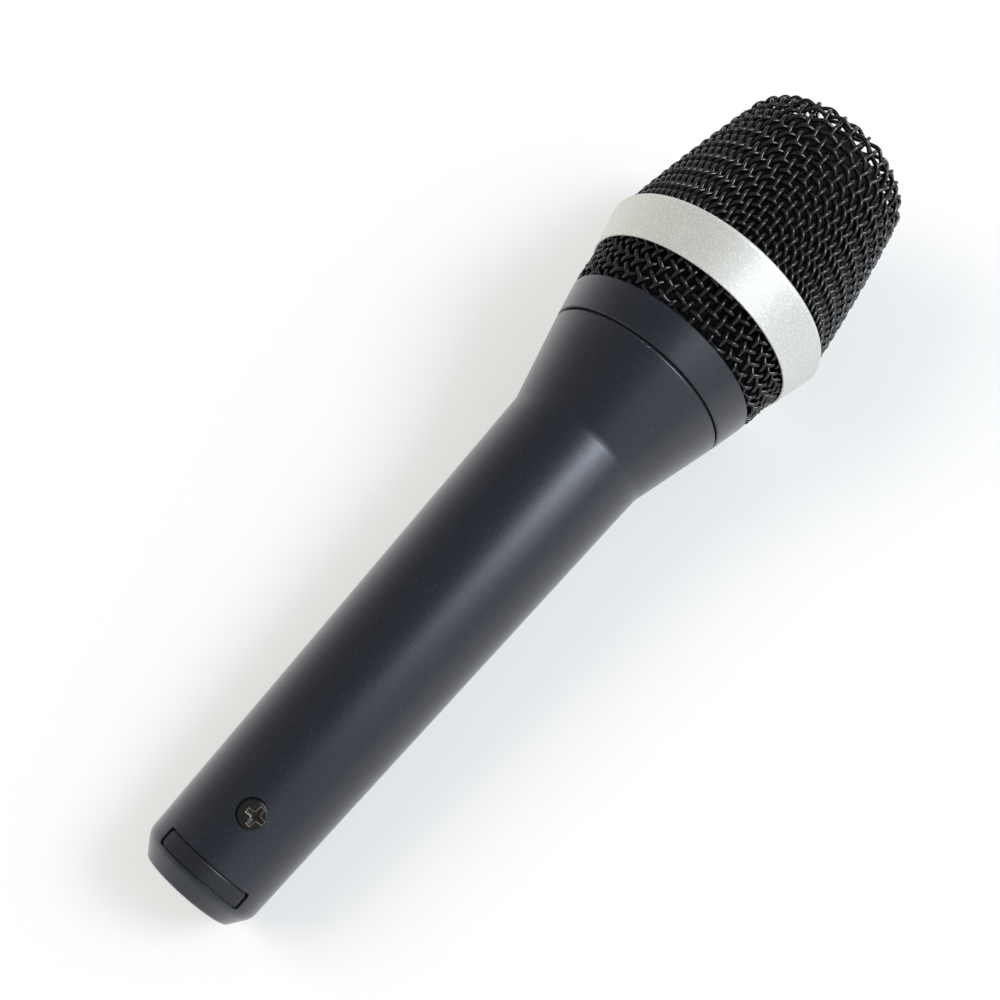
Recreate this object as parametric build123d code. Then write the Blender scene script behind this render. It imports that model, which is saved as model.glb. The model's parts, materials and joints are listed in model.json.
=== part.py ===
"""Handheld dynamic vocal microphone, lying on a table, as an assembly of separate pieces.

Every piece is modelled about its own axis: Z is the distance from the connector end towards the
head, +X is the side that carries the screw and the label recess. place() then lays the whole
microphone on the plane z = 0, touching it with the silver band and the handle's end, head to +X.
Millimetres throughout.
"""

import math
import os

from build123d import *

# --- Overall -----------------------------------------------------------------------------------
LENGTH = 185.0  # connector end to the top of the head
SCREW_SIDE_ROLL = 13.5  # degrees from straight up, towards -Y, at which the screw side faces

# --- Handle ------------------------------------------------------------------------------------
RIM_R = 8.95  # flat end around the connector socket
CHAMFER_LENGTH = 3.5
GRIP_R = 11.55  # at the top of the end chamfer
NECK_Z, NECK_R = 104.2, 14.75  # where the grip turns into the flare
SEAM_Z, SEAM_R = 121.9, 19.5  # top of the handle's outside
CHAMFER_ROUND = 3.0
RIM_ROUND = 0.8
SOCKET_R = 8.15  # bore of a 3-pole round connector's shell
SOCKET_DEPTH = 14.6
STOP_Z, STOP_LENGTH, STOP_R = 28.2, 1.2, 7.3  # lip that the insert is pushed up to
WALL_AT_STOP_R, WALL_AT_NECK_R = 9.6, 12.75  # inside radii of the hollow grip
SPIGOT_R, SPIGOT_BORE_R, SPIGOT_TOP_Z = 17.65, 15.5, 128.1  # threaded neck under the collar
LATCH_Z, LATCH_LENGTH, LATCH_WIDTH, LATCH_DEPTH = 3.0, 3.2, 5.0, 0.85

# --- Label recess and plate ----------------------------------------------------------------------
LABEL_Z0, LABEL_Z1, LABEL_HALF_ANGLE = 3.7, 7.0, 47.5
LABEL_FLOOR_R, PLATE_GAP, PLATE_THICKNESS = 11.0, 0.3, 0.42

# --- Insert and its screw ------------------------------------------------------------------------
INSERT_R, INSERT_LENGTH = 8.10, 13.5
KEY_WIDTH, KEY_HEIGHT, KEY_LENGTH = 1.6, 0.8, 6.6
PIN_R, PIN_CIRCLE_R, PIN_ANGLES = 1.175, 5.55, (70.0, 290.0, 180.0)
PIN_HELD_R = 1.35  # thicker stretch inside the insert
PIN_TIP_Z, PIN_TAIL_Z, PIN_TAIL_R = 2.5, 33.0, 0.9
SCREW_Z, SCREW_POCKET_R, SCREW_POCKET_FLOOR_R = 17.15, 2.7, 10.4
SCREW_HEAD_R, SCREW_HEAD_HEIGHT, SCREW_SHANK_R, SCREW_TIP_R = 2.5, 1.25, 1.25, 4.6
CROSS_SPAN, CROSS_WIDTH, CROSS_DEPTH = 2.9, 0.75, 0.9

# --- Collar, washer and screw thread -------------------------------------------------------------
WASHER_THICKNESS = 0.28
COLLAR_Z0, COLLAR_Z1 = 122.25, 129.4
COLLAR_R0, COLLAR_R1, COLLAR_CHAMFER = 19.6, 21.2, 0.4
THREAD_CLEARANCE = 0.10  # radial, between the spigot and the collar's bore
GRILLE_SEAT_Z = 127.0

# --- Grilles and band ----------------------------------------------------------------------------
MESH_THICKNESS = 1.6  # two wires deep
LOWER_MESH_R0, LOWER_MESH_SLOPE, LOWER_MESH_Z1 = 20.6, 0.25, 139.4  # radius where it leaves the collar
BAND_Z0, BAND_Z1, BAND_R0, BAND_R1 = 137.8, 147.05, 23.1, 25.47
BAND_BORE = ((137.8, 22.8), (141.5, 23.6), (147.05, 24.3))  # inside of the band, with a knee
BAND_ROUND = 0.8
FRAME_Z0, FRAME_Z1, FRAME_BORE_R = 140.0, 145.9, 20.4
UPPER_MESH_Z0, UPPER_MESH_FOOT_R = 146.0, 24.0
UPPER_SIDE = ((147.2, 24.15), (161.0, 22.3), (184.0, 18.1))  # side of the cup, slightly barrelled
UPPER_SIDE_SLOPE = 0.2  # radius lost per mm at the top of the side
UPPER_CORNER = 5.3
FOAM_GAP, FOAM_THICKNESS, FOAM_Z0 = 0.1, 3.8, 147.8
REAR_FOAM_THICKNESS = 1.4

# --- Capsule carrier and suspension --------------------------------------------------------------
CARRIER_R, CARRIER_BORE_R, CARRIER_Z0, CARRIER_Z1 = 16.6, 14.6, 116.0, 157.0
CARRIER_TUBE_R, CARRIER_TUBE_BORE_R = 15.4, 13.6
CARRIER_FLANGE_Z0, CARRIER_FLANGE_Z1 = 128.2, 129.6
GROOVE_R, GROOVE_WIDTH, GROOVE_Z = 15.8, 3.6, (140.0, 152.0)
WINDOW_WIDTH, WINDOW_Z0, WINDOW_Z1 = 12.0, 130.6, 137.0
RING_THICKNESS, RING_OUTER_R = 1.6, 15.5

# --- Capsule -------------------------------------------------------------------------------------
CHAMBER_Z0, CHAMBER_R, CHAMBER_WALL = 132.5, 11.0, 1.0
BASKET_Z0, BASKET_Z1, BASKET_R, BASKET_WALL, BASKET_FLOOR = 159.0, 174.6, 13.3, 0.8, 1.6
YOKE_R, YOKE_WALL, YOKE_HEIGHT, YOKE_FLOOR = 12.4, 1.6, 8.2, 2.0
MAGNET_R, MAGNET_HEIGHT = 8.0, 5.0
POLE_R, POLE_HEIGHT = 8.45, 3.0
GAP_OUTER_R, TOP_PLATE_THICKNESS = 9.2, 2.0
COIL_R0, COIL_R1, COIL_HEIGHT = 8.62, 9.0, 3.2
DIAPHRAGM_Z, DIAPHRAGM_R, DIAPHRAGM_SKIN, DOME_RISE = 172.2, 11.4, 0.15, 2.0
CLAMP_RING_R0, CLAMP_RING_Z0 = 11.75, 170.9
CAP_Z0, CAP_PLATE_Z, CAP_Z1 = 174.7, 175.4, 176.4

# --- Leads ---------------------------------------------------------------------------------------
LEAD_R = 0.55
BOARD_Z, BOARD_THICKNESS, BOARD_R = 117.0, 1.2, 13.5
LUG_CIRCLE_R, LUG_ANGLES = 5.9, (305.0, 140.0)
LEAD_ROUTES = {
    "lead_hot": [(1.9, -5.2, 33.05), (2.1, -4.9, 40), (4.4, -2.2, 55), (1.2, -4.4, 75), (4.6, -1.6, 95),
                 (2.8, -4.6, 109), (3.4, -4.8, 116.95)],
    "lead_cold": [(-5.55, 0.0, 33.05), (-5.2, 0.3, 40), (-2.2, 3.6, 54), (-4.6, 1.0, 74),
                  (-1.4, 4.6, 94), (-4.2, 4.2, 109), (-4.6, 3.8, 116.95)],
}


def revolve_profile(points):
    """Solid of revolution about Z of a closed outline given as (z, radius) points."""
    outline = Polyline(*[(r, z) for z, r in points], close=True)
    return revolve(Plane.XZ * make_face(outline), Axis.Z)


def tube(z0, z1, outer, inner=0.0):
    """Plain ring or disc between two heights."""
    return revolve_profile([(z0, inner), (z0, outer), (z1, outer), (z1, inner)])


def rounded(face, corners):
    """Rounds the corners of a profile face that are nearest to the given (z, radius) points."""
    for z, r, radius in corners:
        corner = face.vertices().sort_by_distance((r, z, 0))[0]
        face = fillet(corner, radius)
    return face


def grip_radius(z):
    """Outside radius of the grip between the end chamfer and the neck."""
    return GRIP_R + (NECK_R - GRIP_R) * (z - CHAMFER_LENGTH) / (NECK_Z - CHAMFER_LENGTH)


def sector(z0, z1, r0, r1, half_angle, corner):
    """Slab of a ring about the +X side with rounded corners, seen from outside."""
    ring = Rot(0, 0, -half_angle) * revolve(
        Plane.XZ * make_face(Polyline((r0, z0), (r1, z0), (r1, z1), (r0, z1), close=True)),
        Axis.Z,
        revolution_arc=2 * half_angle,
    )
    radial = [e for e in ring.edges().filter_by(GeomType.LINE) if abs(e.length - (r1 - r0)) < 0.01]
    return fillet(radial, corner)


def handle():
    """Cast body: hollow grip, end socket, flared neck, threaded spigot, screw pocket, label recess."""
    outline = make_face(
        Polyline(
            (SOCKET_R, 0),
            (RIM_R, 0),
            (GRIP_R, CHAMFER_LENGTH),
            (NECK_R, NECK_Z),
            (SEAM_R, SEAM_Z),
            (SPIGOT_R, SEAM_Z),
            (SPIGOT_R, SPIGOT_TOP_Z),
            (SPIGOT_BORE_R, SPIGOT_TOP_Z),
            (SPIGOT_BORE_R, SEAM_Z - 6.4),
            (WALL_AT_NECK_R, NECK_Z),
            (WALL_AT_STOP_R, STOP_Z + STOP_LENGTH),
            (STOP_R, STOP_Z + STOP_LENGTH),
            (STOP_R, STOP_Z),
            (SOCKET_R, STOP_Z),
            close=True,
        )
    )
    outline = rounded(
        outline,
        [
            (CHAMFER_LENGTH, GRIP_R, CHAMFER_ROUND),
            (0, RIM_R, RIM_ROUND),
            (0, SOCKET_R, 0.3),
            (NECK_Z, NECK_R, 5.0),
            (SEAM_Z, SEAM_R, 0.35),
            (SPIGOT_TOP_Z, SPIGOT_R, 0.4),
        ],
    )
    body = revolve(Plane.XZ * outline, Axis.Z)
    pocket_depth = GRIP_R + 3 - SCREW_POCKET_FLOOR_R
    radially = Plane(origin=(SCREW_POCKET_FLOOR_R, 0, SCREW_Z), x_dir=(0, 1, 0), z_dir=(1, 0, 0))
    body -= radially * Cylinder(SCREW_POCKET_R, pocket_depth, align=(Align.CENTER, Align.CENTER, Align.MIN))
    hole_depth = SCREW_POCKET_FLOOR_R - SOCKET_R + 2
    body -= radially * Cylinder(
        SCREW_SHANK_R + 0.15, hole_depth, align=(Align.CENTER, Align.CENTER, Align.MAX)
    )
    body -= sector(LABEL_Z0, LABEL_Z1, LABEL_FLOOR_R, LABEL_FLOOR_R + 2, LABEL_HALF_ANGLE, 0.5)
    latch = Box(LATCH_DEPTH + 2, LATCH_WIDTH, LATCH_LENGTH, align=(Align.MIN, Align.CENTER, Align.MIN))
    return body - Pos(SOCKET_R - 2, 0, LATCH_Z) * latch


def label_plate():
    """Blank plate that sits in the recess at the connector end."""
    gap_angle = math.degrees(PLATE_GAP / LABEL_FLOOR_R)
    return sector(
        LABEL_Z0 + PLATE_GAP,
        LABEL_Z1 - PLATE_GAP,
        LABEL_FLOOR_R + 0.01,
        LABEL_FLOOR_R + PLATE_THICKNESS,
        LABEL_HALF_ANGLE - gap_angle,
        0.4,
    )


def insert_screw():
    """Cross-head screw that keeps the connector insert in the handle."""
    head_base = SCREW_POCKET_FLOOR_R + 0.01
    profile = make_face(
        Polyline(
            (0, SCREW_TIP_R),
            (SCREW_SHANK_R - 0.4, SCREW_TIP_R),
            (SCREW_SHANK_R, SCREW_TIP_R + 0.4),
            (SCREW_SHANK_R, head_base),
            (SCREW_HEAD_R, head_base),
            (SCREW_HEAD_R, head_base + SCREW_HEAD_HEIGHT),
            (0, head_base + SCREW_HEAD_HEIGHT),
            close=True,
        )
    )
    profile = rounded(profile, [(head_base + SCREW_HEAD_HEIGHT, SCREW_HEAD_R, 0.55)])
    screw = revolve(Plane.XZ * profile, Axis.Z)
    for angle in (45, 135):
        slot = Box(CROSS_SPAN, CROSS_WIDTH, CROSS_DEPTH + 1, align=(Align.CENTER, Align.CENTER, Align.MIN))
        screw -= Pos(0, 0, head_base + SCREW_HEAD_HEIGHT - CROSS_DEPTH) * Rot(0, 0, angle) * slot
    return Pos(0, 0, SCREW_Z) * Rot(0, 90, 0) * screw


def pin_places():
    """Centre of each contact on the insert's face."""
    return [Pos(PIN_CIRCLE_R * math.cos(math.radians(a)), PIN_CIRCLE_R * math.sin(math.radians(a)), 0)
            for a in PIN_ANGLES]


def xlr_insert():
    """Moulded block that holds the three contacts, with its key rib and screw hole."""
    block = tube(SOCKET_DEPTH, SOCKET_DEPTH + INSERT_LENGTH, INSERT_R)
    key = Box(KEY_HEIGHT + 1, KEY_WIDTH, KEY_LENGTH + 1, align=(Align.MIN, Align.CENTER, Align.MIN))
    key = Pos(INSERT_R - KEY_HEIGHT, 0, SOCKET_DEPTH - KEY_LENGTH) * key
    block = block + (key & Cylinder(INSERT_R, 4 * SOCKET_DEPTH))
    for place_pin in pin_places():
        block -= place_pin * Pos(0, 0, SOCKET_DEPTH) * Cylinder(PIN_HELD_R, 4 * INSERT_LENGTH)
    hole = Rot(0, 90, 0) * Cylinder(SCREW_SHANK_R, INSERT_R, align=(Align.CENTER, Align.CENTER, Align.MIN))
    block -= Pos(SCREW_TIP_R - 0.5, 0, SCREW_Z) * hole
    return block


def contact_pin(place_pin):
    """Turned contact: domed tip in the socket, thinner solder tail behind the insert."""
    back = SOCKET_DEPTH + INSERT_LENGTH
    profile = make_face(
        Polyline(
            (0, PIN_TIP_Z),
            (PIN_R, PIN_TIP_Z),
            (PIN_R, SOCKET_DEPTH),
            (PIN_HELD_R, SOCKET_DEPTH),
            (PIN_HELD_R, back),
            (PIN_TAIL_R, back),
            (PIN_TAIL_R, PIN_TAIL_Z),
            (0, PIN_TAIL_Z),
            close=True,
        )
    )
    profile = rounded(profile, [(PIN_TIP_Z, PIN_R, 0.8)])
    return place_pin * revolve(Plane.XZ * profile, Axis.Z)


def ground_spring():
    """Leaf on the first contact's tail that touches the handle's inside wall."""
    back = SOCKET_DEPTH + INSERT_LENGTH + 1.6
    eyelet = tube(back, back + 0.4, PIN_TAIL_R + 0.9, PIN_TAIL_R + 0.02)
    arm = Pos(PIN_TAIL_R + 0.4, 0, back) * Box(1.9, 1.8, 0.4, align=(Align.MIN, Align.CENTER, Align.MIN))
    leaf = Pos(PIN_TAIL_R + 1.9, 0, back) * Box(0.4, 1.8, 6.0, align=(Align.MIN, Align.CENTER, Align.MIN))
    turned = Rot(0, 0, PIN_ANGLES[0])
    return turned * Pos(PIN_CIRCLE_R, 0, 0) * (eyelet + arm + leaf)


def lead(route):
    """Insulated wire of round section along straight runs joined by tangent arcs."""
    points = [Vector(*p) for p in route]
    runs = [b - a for a, b in zip(points, points[1:])]
    radii = []
    for a, b in zip(runs, runs[1:]):
        half_turn = math.radians(a.get_angle(b)) / 2
        radii.append(0.45 * min(a.length, b.length) / math.tan(half_turn))
    path = FilletPolyline(*points, radius=radii)
    print("lead length", round(path.length, 1), "radii", [round(r, 1) for r in radii])
    section = Plane(origin=points[0], z_dir=runs[0]) * Circle(LEAD_R)
    return sweep(section, path)


def terminal_board():
    """Fibre disc with two lugs where the capsule's fine tails meet the leads."""
    board = tube(BOARD_Z, BOARD_Z + BOARD_THICKNESS, BOARD_R)
    for angle in LUG_ANGLES:
        lug = Pos(LUG_CIRCLE_R, 0, BOARD_Z + BOARD_THICKNESS) * Cylinder(
            1.3, 0.5, align=(Align.CENTER, Align.CENTER, Align.MIN)
        )
        board += Rot(0, 0, angle) * lug
    return board


def seal_washer():
    """Thin friction washer between the handle's shoulder and the collar."""
    return tube(SEAM_Z, SEAM_Z + WASHER_THICKNESS, SEAM_R - 0.55, SPIGOT_R + THREAD_CLEARANCE)


def lower_mesh_radius(z):
    """Outside radius of the lower grille."""
    return LOWER_MESH_R0 + LOWER_MESH_SLOPE * (z - COLLAR_Z1)


def collar():
    """Internally threaded ring that screws the head onto the handle and holds the lower grille."""
    bore = SPIGOT_R + THREAD_CLEARANCE
    seat_inner = lower_mesh_radius(GRILLE_SEAT_Z) - MESH_THICKNESS - 0.1
    outline = make_face(
        Polyline(
            (bore, COLLAR_Z0),
            (COLLAR_R0, COLLAR_Z0),
            (COLLAR_R1, COLLAR_Z1 - COLLAR_CHAMFER),
            (COLLAR_R1 - COLLAR_CHAMFER, COLLAR_Z1),
            (lower_mesh_radius(COLLAR_Z1) + 0.05, COLLAR_Z1),
            (lower_mesh_radius(GRILLE_SEAT_Z) + 0.05, GRILLE_SEAT_Z),
            (seat_inner, GRILLE_SEAT_Z),
            (seat_inner, GRILLE_SEAT_Z + 1.2),
            (bore, GRILLE_SEAT_Z + 1.2),
            close=True,
        )
    )
    outline = rounded(outline, [(COLLAR_Z0, COLLAR_R0, 0.3)])
    return revolve(Plane.XZ * outline, Axis.Z)


def lower_cone(z0, z1, inset, thickness):
    """Conical shell inside the lower grille's outside surface."""
    return revolve_profile(
        [
            (z0, lower_mesh_radius(z0) - inset),
            (z1, lower_mesh_radius(z1) - inset),
            (z1, lower_mesh_radius(z1) - inset - thickness),
            (z0, lower_mesh_radius(z0) - inset - thickness),
        ]
    )


def lower_grille():
    """Woven wire cone between the collar and the band."""
    return lower_cone(GRILLE_SEAT_Z, LOWER_MESH_Z1, 0, MESH_THICKNESS)


def rear_foam():
    """Thin foam strip behind the lower grille."""
    return lower_cone(129.6, 138.2, MESH_THICKNESS + FOAM_GAP, REAR_FOAM_THICKNESS)


def band_bore(z):
    """Inside radius of the band."""
    (z0, r0), (z1, r1), (z2, r2) = BAND_BORE
    if z < z1:
        return r0 + (r1 - r0) * (z - z0) / (z1 - z0)
    return r1 + (r2 - r1) * (z - z1) / (z2 - z1)


def grille_band():
    """Silver trim band over the joint between the two grilles."""
    outline = make_face(
        Polyline(
            (BAND_R0, BAND_Z0),
            (BAND_R1, BAND_Z1),
            *[(r, z) for z, r in reversed(BAND_BORE)],
            close=True,
        )
    )
    outline = rounded(outline, [(BAND_Z1, BAND_R1, BAND_ROUND), (BAND_Z0, BAND_R0, 0.12)])
    return revolve(Plane.XZ * outline, Axis.Z)


def grille_frame():
    """Support ring inside the band, with a lip into each grille."""
    lower_lip = lower_mesh_radius(138.6) - MESH_THICKNESS - 0.1
    upper_lip = UPPER_MESH_FOOT_R - MESH_THICKNESS - 0.1
    return revolve_profile(
        [
            (138.6, FRAME_BORE_R),
            (138.6, lower_lip),
            (FRAME_Z0, lower_lip),
            (FRAME_Z0, band_bore(FRAME_Z0) - 0.05),
            (BAND_BORE[1][0], BAND_BORE[1][1] - 0.05),
            (FRAME_Z1, band_bore(FRAME_Z1) - 0.05),
            (FRAME_Z1, upper_lip),
            (147.6, upper_lip),
            (147.6, FRAME_BORE_R + 1.4),
            (FRAME_Z1, FRAME_BORE_R + 1.4),
            (FRAME_Z0, FRAME_BORE_R),
        ]
    )


def dome_arc(edge_r, edge_z, top_z):
    """Arc from the edge up to the axis, centred on the axis so that it revolves to part of a ball."""
    rise = top_z - edge_z
    ball = (edge_r**2 + rise**2) / (2 * rise)
    half = math.asin(edge_r / ball) / 2
    middle = (ball * math.sin(half), top_z - ball + ball * math.cos(half))
    return ThreePointArc((edge_r, edge_z), middle, (0, top_z))


def cup(inset, z0, foot_r=None):
    """Solid inside the upper grille's outside surface moved in by inset, closed at z0."""
    start, middle, end = [Vector(r - inset, z) for z, r in UPPER_SIDE]
    top = LENGTH - inset
    edge = end + Vector(UPPER_SIDE_SLOPE * inset, -inset)
    side = ThreePointArc(start, middle, edge)
    crown = dome_arc(edge.X, edge.Y, top)
    foot = foot_r if foot_r else start.X
    lines = [side, crown, Line((0, top), (0, z0)), Line((0, z0), (foot, z0)), Line((foot, z0), start)]
    outline = make_face(Wire([e for line in lines for e in line.edges()]))
    outline = rounded(outline, [(edge.Y, edge.X, max(UPPER_CORNER - inset, 1.0))])
    return revolve(Plane.XZ * outline, Axis.Z)


def upper_grille():
    """Woven wire cup over the capsule."""
    inner = cup(MESH_THICKNESS, UPPER_MESH_Z0 - 1, UPPER_MESH_FOOT_R - MESH_THICKNESS)
    return cup(0, UPPER_MESH_Z0, UPPER_MESH_FOOT_R) - inner


def grille_foam():
    """Open-cell foam cup that lines the upper grille."""
    outer = cup(MESH_THICKNESS + FOAM_GAP, FOAM_Z0 - 1) & Pos(0, 0, FOAM_Z0) * Cylinder(
        30, 60, align=(Align.CENTER, Align.CENTER, Align.MIN)
    )
    return outer - cup(MESH_THICKNESS + FOAM_GAP + FOAM_THICKNESS, FOAM_Z0 - 2)


def capsule_carrier():
    """Cage screwed into the spigot, with two grooves for the suspension rings and side windows."""
    points = [
        (CARRIER_Z0, CARRIER_TUBE_BORE_R),
        (CARRIER_Z0, CARRIER_TUBE_R),
        (CARRIER_FLANGE_Z0, CARRIER_TUBE_R),
        (CARRIER_FLANGE_Z0, CARRIER_R),
        (CARRIER_Z1, CARRIER_R),
        (CARRIER_Z1, CARRIER_BORE_R),
    ]
    for z in reversed(GROOVE_Z):
        points += [
            (z + GROOVE_WIDTH, CARRIER_BORE_R),
            (z + GROOVE_WIDTH, GROOVE_R),
            (z, GROOVE_R),
            (z, CARRIER_BORE_R),
        ]
    points += [(CARRIER_FLANGE_Z1, CARRIER_BORE_R), (CARRIER_FLANGE_Z1, CARRIER_TUBE_BORE_R)]
    cage = revolve_profile(points)
    for angle in (0, 90):
        window = Box(60, WINDOW_WIDTH, WINDOW_Z1 - WINDOW_Z0, align=(Align.CENTER, Align.CENTER, Align.MIN))
        cage -= Pos(0, 0, WINDOW_Z0) * Rot(0, 0, angle) * window
    return cage


def suspension_ring(groove_z):
    """Rubber ring on the capsule whose outer lip floats in a groove of the carrier."""
    middle = groove_z + GROOVE_WIDTH / 2
    half = RING_THICKNESS / 2
    return revolve_profile(
        [
            (middle - 1.6, CHAMBER_R + 0.01),
            (middle - 1.6, CHAMBER_R + 1.2),
            (middle - half, CHAMBER_R + 1.8),
            (middle - half, RING_OUTER_R),
            (middle + half, RING_OUTER_R),
            (middle + half, CHAMBER_R + 1.8),
            (middle + 1.6, CHAMBER_R + 1.2),
            (middle + 1.6, CHAMBER_R + 0.01),
        ]
    )


def rear_chamber():
    """Closed cup behind the magnet that holds the capsule's rear air volume."""
    inner_r = CHAMBER_R - CHAMBER_WALL
    return tube(CHAMBER_Z0, BASKET_Z0, CHAMBER_R) - tube(CHAMBER_Z0 + 1.2, BASKET_Z0, inner_r)


def damping_felt():
    """Felt disc over the passage into the rear chamber."""
    return tube(BASKET_Z0 - 2.4, BASKET_Z0 - 0.1, CHAMBER_R - CHAMBER_WALL - 0.05)


def capsule_basket():
    """Moulded cup that carries the magnet system and the diaphragm."""
    floor = tube(BASKET_Z0, BASKET_Z0 + BASKET_FLOOR, BASKET_R, 4.0)
    wall = tube(BASKET_Z0, BASKET_Z1, BASKET_R, BASKET_R - BASKET_WALL)
    return floor + wall


def yoke():
    """Soft-iron pot around the magnet, with vent holes in its floor."""
    z0 = BASKET_Z0 + BASKET_FLOOR
    pot = tube(z0, z0 + YOKE_HEIGHT, YOKE_R) - tube(z0 + YOKE_FLOOR, z0 + YOKE_HEIGHT, YOKE_R - YOKE_WALL)
    for angle in range(0, 360, 60):
        pot -= Rot(0, 0, angle) * Pos(9.4, 0, z0) * Cylinder(0.8, 3 * YOKE_FLOOR)
    return pot


def magnet():
    """Round magnet in the middle of the pot."""
    z0 = BASKET_Z0 + BASKET_FLOOR + YOKE_FLOOR
    return tube(z0, z0 + MAGNET_HEIGHT, MAGNET_R)


def pole_piece():
    """Soft-iron disc on the magnet, inside the voice coil."""
    z0 = BASKET_Z0 + BASKET_FLOOR + YOKE_FLOOR + MAGNET_HEIGHT
    return tube(z0, z0 + POLE_HEIGHT, POLE_R)


def top_plate():
    """Soft-iron ring on the pot, outside the voice coil."""
    z0 = BASKET_Z0 + BASKET_FLOOR + YOKE_HEIGHT
    return tube(z0, z0 + TOP_PLATE_THICKNESS, YOKE_R, GAP_OUTER_R)


def voice_coil():
    """Self-supporting winding in the magnet's air gap."""
    return tube(DIAPHRAGM_Z - COIL_HEIGHT, DIAPHRAGM_Z, COIL_R1, COIL_R0)


def diaphragm():
    """Domed membrane: centre dome over the coil and a rolled surround."""
    z0 = DIAPHRAGM_Z + 0.01
    skin = DIAPHRAGM_SKIN
    under = dome_arc(COIL_R1, z0, z0 + DOME_RISE)
    over = dome_arc(COIL_R1, z0 + skin, z0 + skin + DOME_RISE)
    middle = (COIL_R1 + DIAPHRAGM_R) / 2
    under_roll = ThreePointArc((COIL_R1, z0), (middle, z0 + 0.55), (DIAPHRAGM_R, z0))
    over_roll = ThreePointArc((COIL_R1, z0 + skin), (middle, z0 + 0.55 + skin), (DIAPHRAGM_R, z0 + skin))
    edges = [
        under,
        Line((0, z0 + DOME_RISE), (0, z0 + skin + DOME_RISE)),
        over,
        over_roll,
        Line((DIAPHRAGM_R, z0), (DIAPHRAGM_R, z0 + skin)),
        under_roll,
    ]
    outline = make_face(Wire([e for line in edges for e in line.edges()]))
    return revolve(Plane.XZ * outline, Axis.Z)


def diaphragm_ring():
    """Ring around the diaphragm's edge."""
    return tube(CLAMP_RING_Z0, BASKET_Z1, BASKET_R - BASKET_WALL - 0.05, CLAMP_RING_R0)


def front_cap():
    """Perforated cap in front of the diaphragm."""
    rim = tube(CAP_Z0, CAP_Z1, BASKET_R, BASKET_R - 1.0)
    cap = rim + tube(CAP_PLATE_Z, CAP_Z1, BASKET_R)
    cap -= Pos(0, 0, CAP_Z0) * Cylinder(1.5, 6)
    for angle in range(0, 360, 45):
        cap -= Rot(0, 0, angle) * Pos(6.5, 0, CAP_Z0) * Cylinder(1.2, 6)
    return cap


def rest_angle():
    """Angle of the axis above the table when the band and the handle's end both touch it."""
    chamfer_angle = math.atan2(GRIP_R - RIM_R, CHAMFER_LENGTH)
    grip_angle = math.atan2(NECK_R - GRIP_R, NECK_Z - CHAMFER_LENGTH)
    end = round_centre(CHAMFER_LENGTH, GRIP_R, chamfer_angle, grip_angle, CHAMFER_ROUND)
    band_angle = math.atan2(BAND_R1 - BAND_R0, BAND_Z1 - BAND_Z0)
    band = round_centre(BAND_Z1, BAND_R1, band_angle, -math.pi / 2, BAND_ROUND)
    along, out = band[0] - end[0], band[1] - end[1]
    apart = math.hypot(along, out)
    angle = math.atan2(out, along) + math.asin((BAND_ROUND - CHAMFER_ROUND) / apart)
    touch = band[0] * math.sin(angle) - band[1] * math.cos(angle) - BAND_ROUND
    return math.degrees(angle), touch


def round_centre(z, r, angle_before, angle_after, radius):
    """Centre of the arc that rounds a convex corner between two lines at these angles to the axis."""
    middle = (angle_before + angle_after) / 2
    depth = radius / math.cos((angle_before - angle_after) / 2)
    return z + depth * math.sin(middle), r - depth * math.cos(middle)


def place(pieces):
    """Lays the assembly down: screw side rolled towards -Y, axis raised, base centre at the origin."""
    angle, touch = rest_angle()
    tilt, roll = math.radians(angle), math.radians(SCREW_SIDE_ROLL)
    axis = Vector(math.cos(tilt), 0, math.sin(tilt))
    screw_side = Vector(
        -math.sin(tilt) * math.cos(roll), -math.sin(roll), math.cos(tilt) * math.cos(roll)
    )
    lying = Plane(origin=(0, 0, 0), x_dir=screw_side, z_dir=axis)
    laid = {name: lying.location * piece for name, piece in pieces.items()}
    back, front = laid["handle"].bounding_box().min.X, laid["upper_grille"].bounding_box().max.X
    shift = Pos(-(back + front) / 2, 0, -touch)
    laid = {name: shift * piece for name, piece in laid.items()}
    print("axis raised", round(angle, 4), "degrees; connector end at", shift.position)
    return laid


def main():
    pieces = {
        "handle": handle(),
        "label_plate": label_plate(),
        "insert_screw": insert_screw(),
        "xlr_insert": xlr_insert(),
        "ground_spring": ground_spring(),
        "terminal_board": terminal_board(),
        "seal_washer": seal_washer(),
        "collar": collar(),
        "lower_grille": lower_grille(),
        "rear_foam": rear_foam(),
        "grille_frame": grille_frame(),
        "grille_band": grille_band(),
        "upper_grille": upper_grille(),
        "grille_foam": grille_foam(),
        "capsule_carrier": capsule_carrier(),
        "rear_suspension": suspension_ring(GROOVE_Z[0]),
        "front_suspension": suspension_ring(GROOVE_Z[1]),
        "rear_chamber": rear_chamber(),
        "damping_felt": damping_felt(),
        "capsule_basket": capsule_basket(),
        "yoke": yoke(),
        "magnet": magnet(),
        "pole_piece": pole_piece(),
        "top_plate": top_plate(),
        "voice_coil": voice_coil(),
        "diaphragm": diaphragm(),
        "diaphragm_ring": diaphragm_ring(),
        "front_cap": front_cap(),
    }
    for number, place_pin in enumerate(pin_places(), start=1):
        pieces[f"contact_pin_{number}"] = contact_pin(place_pin)
    for name, route in LEAD_ROUTES.items():
        pieces[name] = lead(route)
    os.makedirs("parts", exist_ok=True)
    for name, piece in place(pieces).items():
        export_step(piece, f"parts/{name}.step")


main()
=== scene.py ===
"""Looks of a handheld dynamic microphone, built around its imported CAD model.

Metres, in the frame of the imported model. The microphone's own axis runs from the connector end
to the head: s is the distance along it, r the distance from it, and angles are counted from the
screw side. The woven grilles, the foam liners, the insert screw and the label plate are modelled
here; the other pieces keep their CAD shape.
"""

import json
import math

import bpy
import numpy as np
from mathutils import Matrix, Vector, noise


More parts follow.
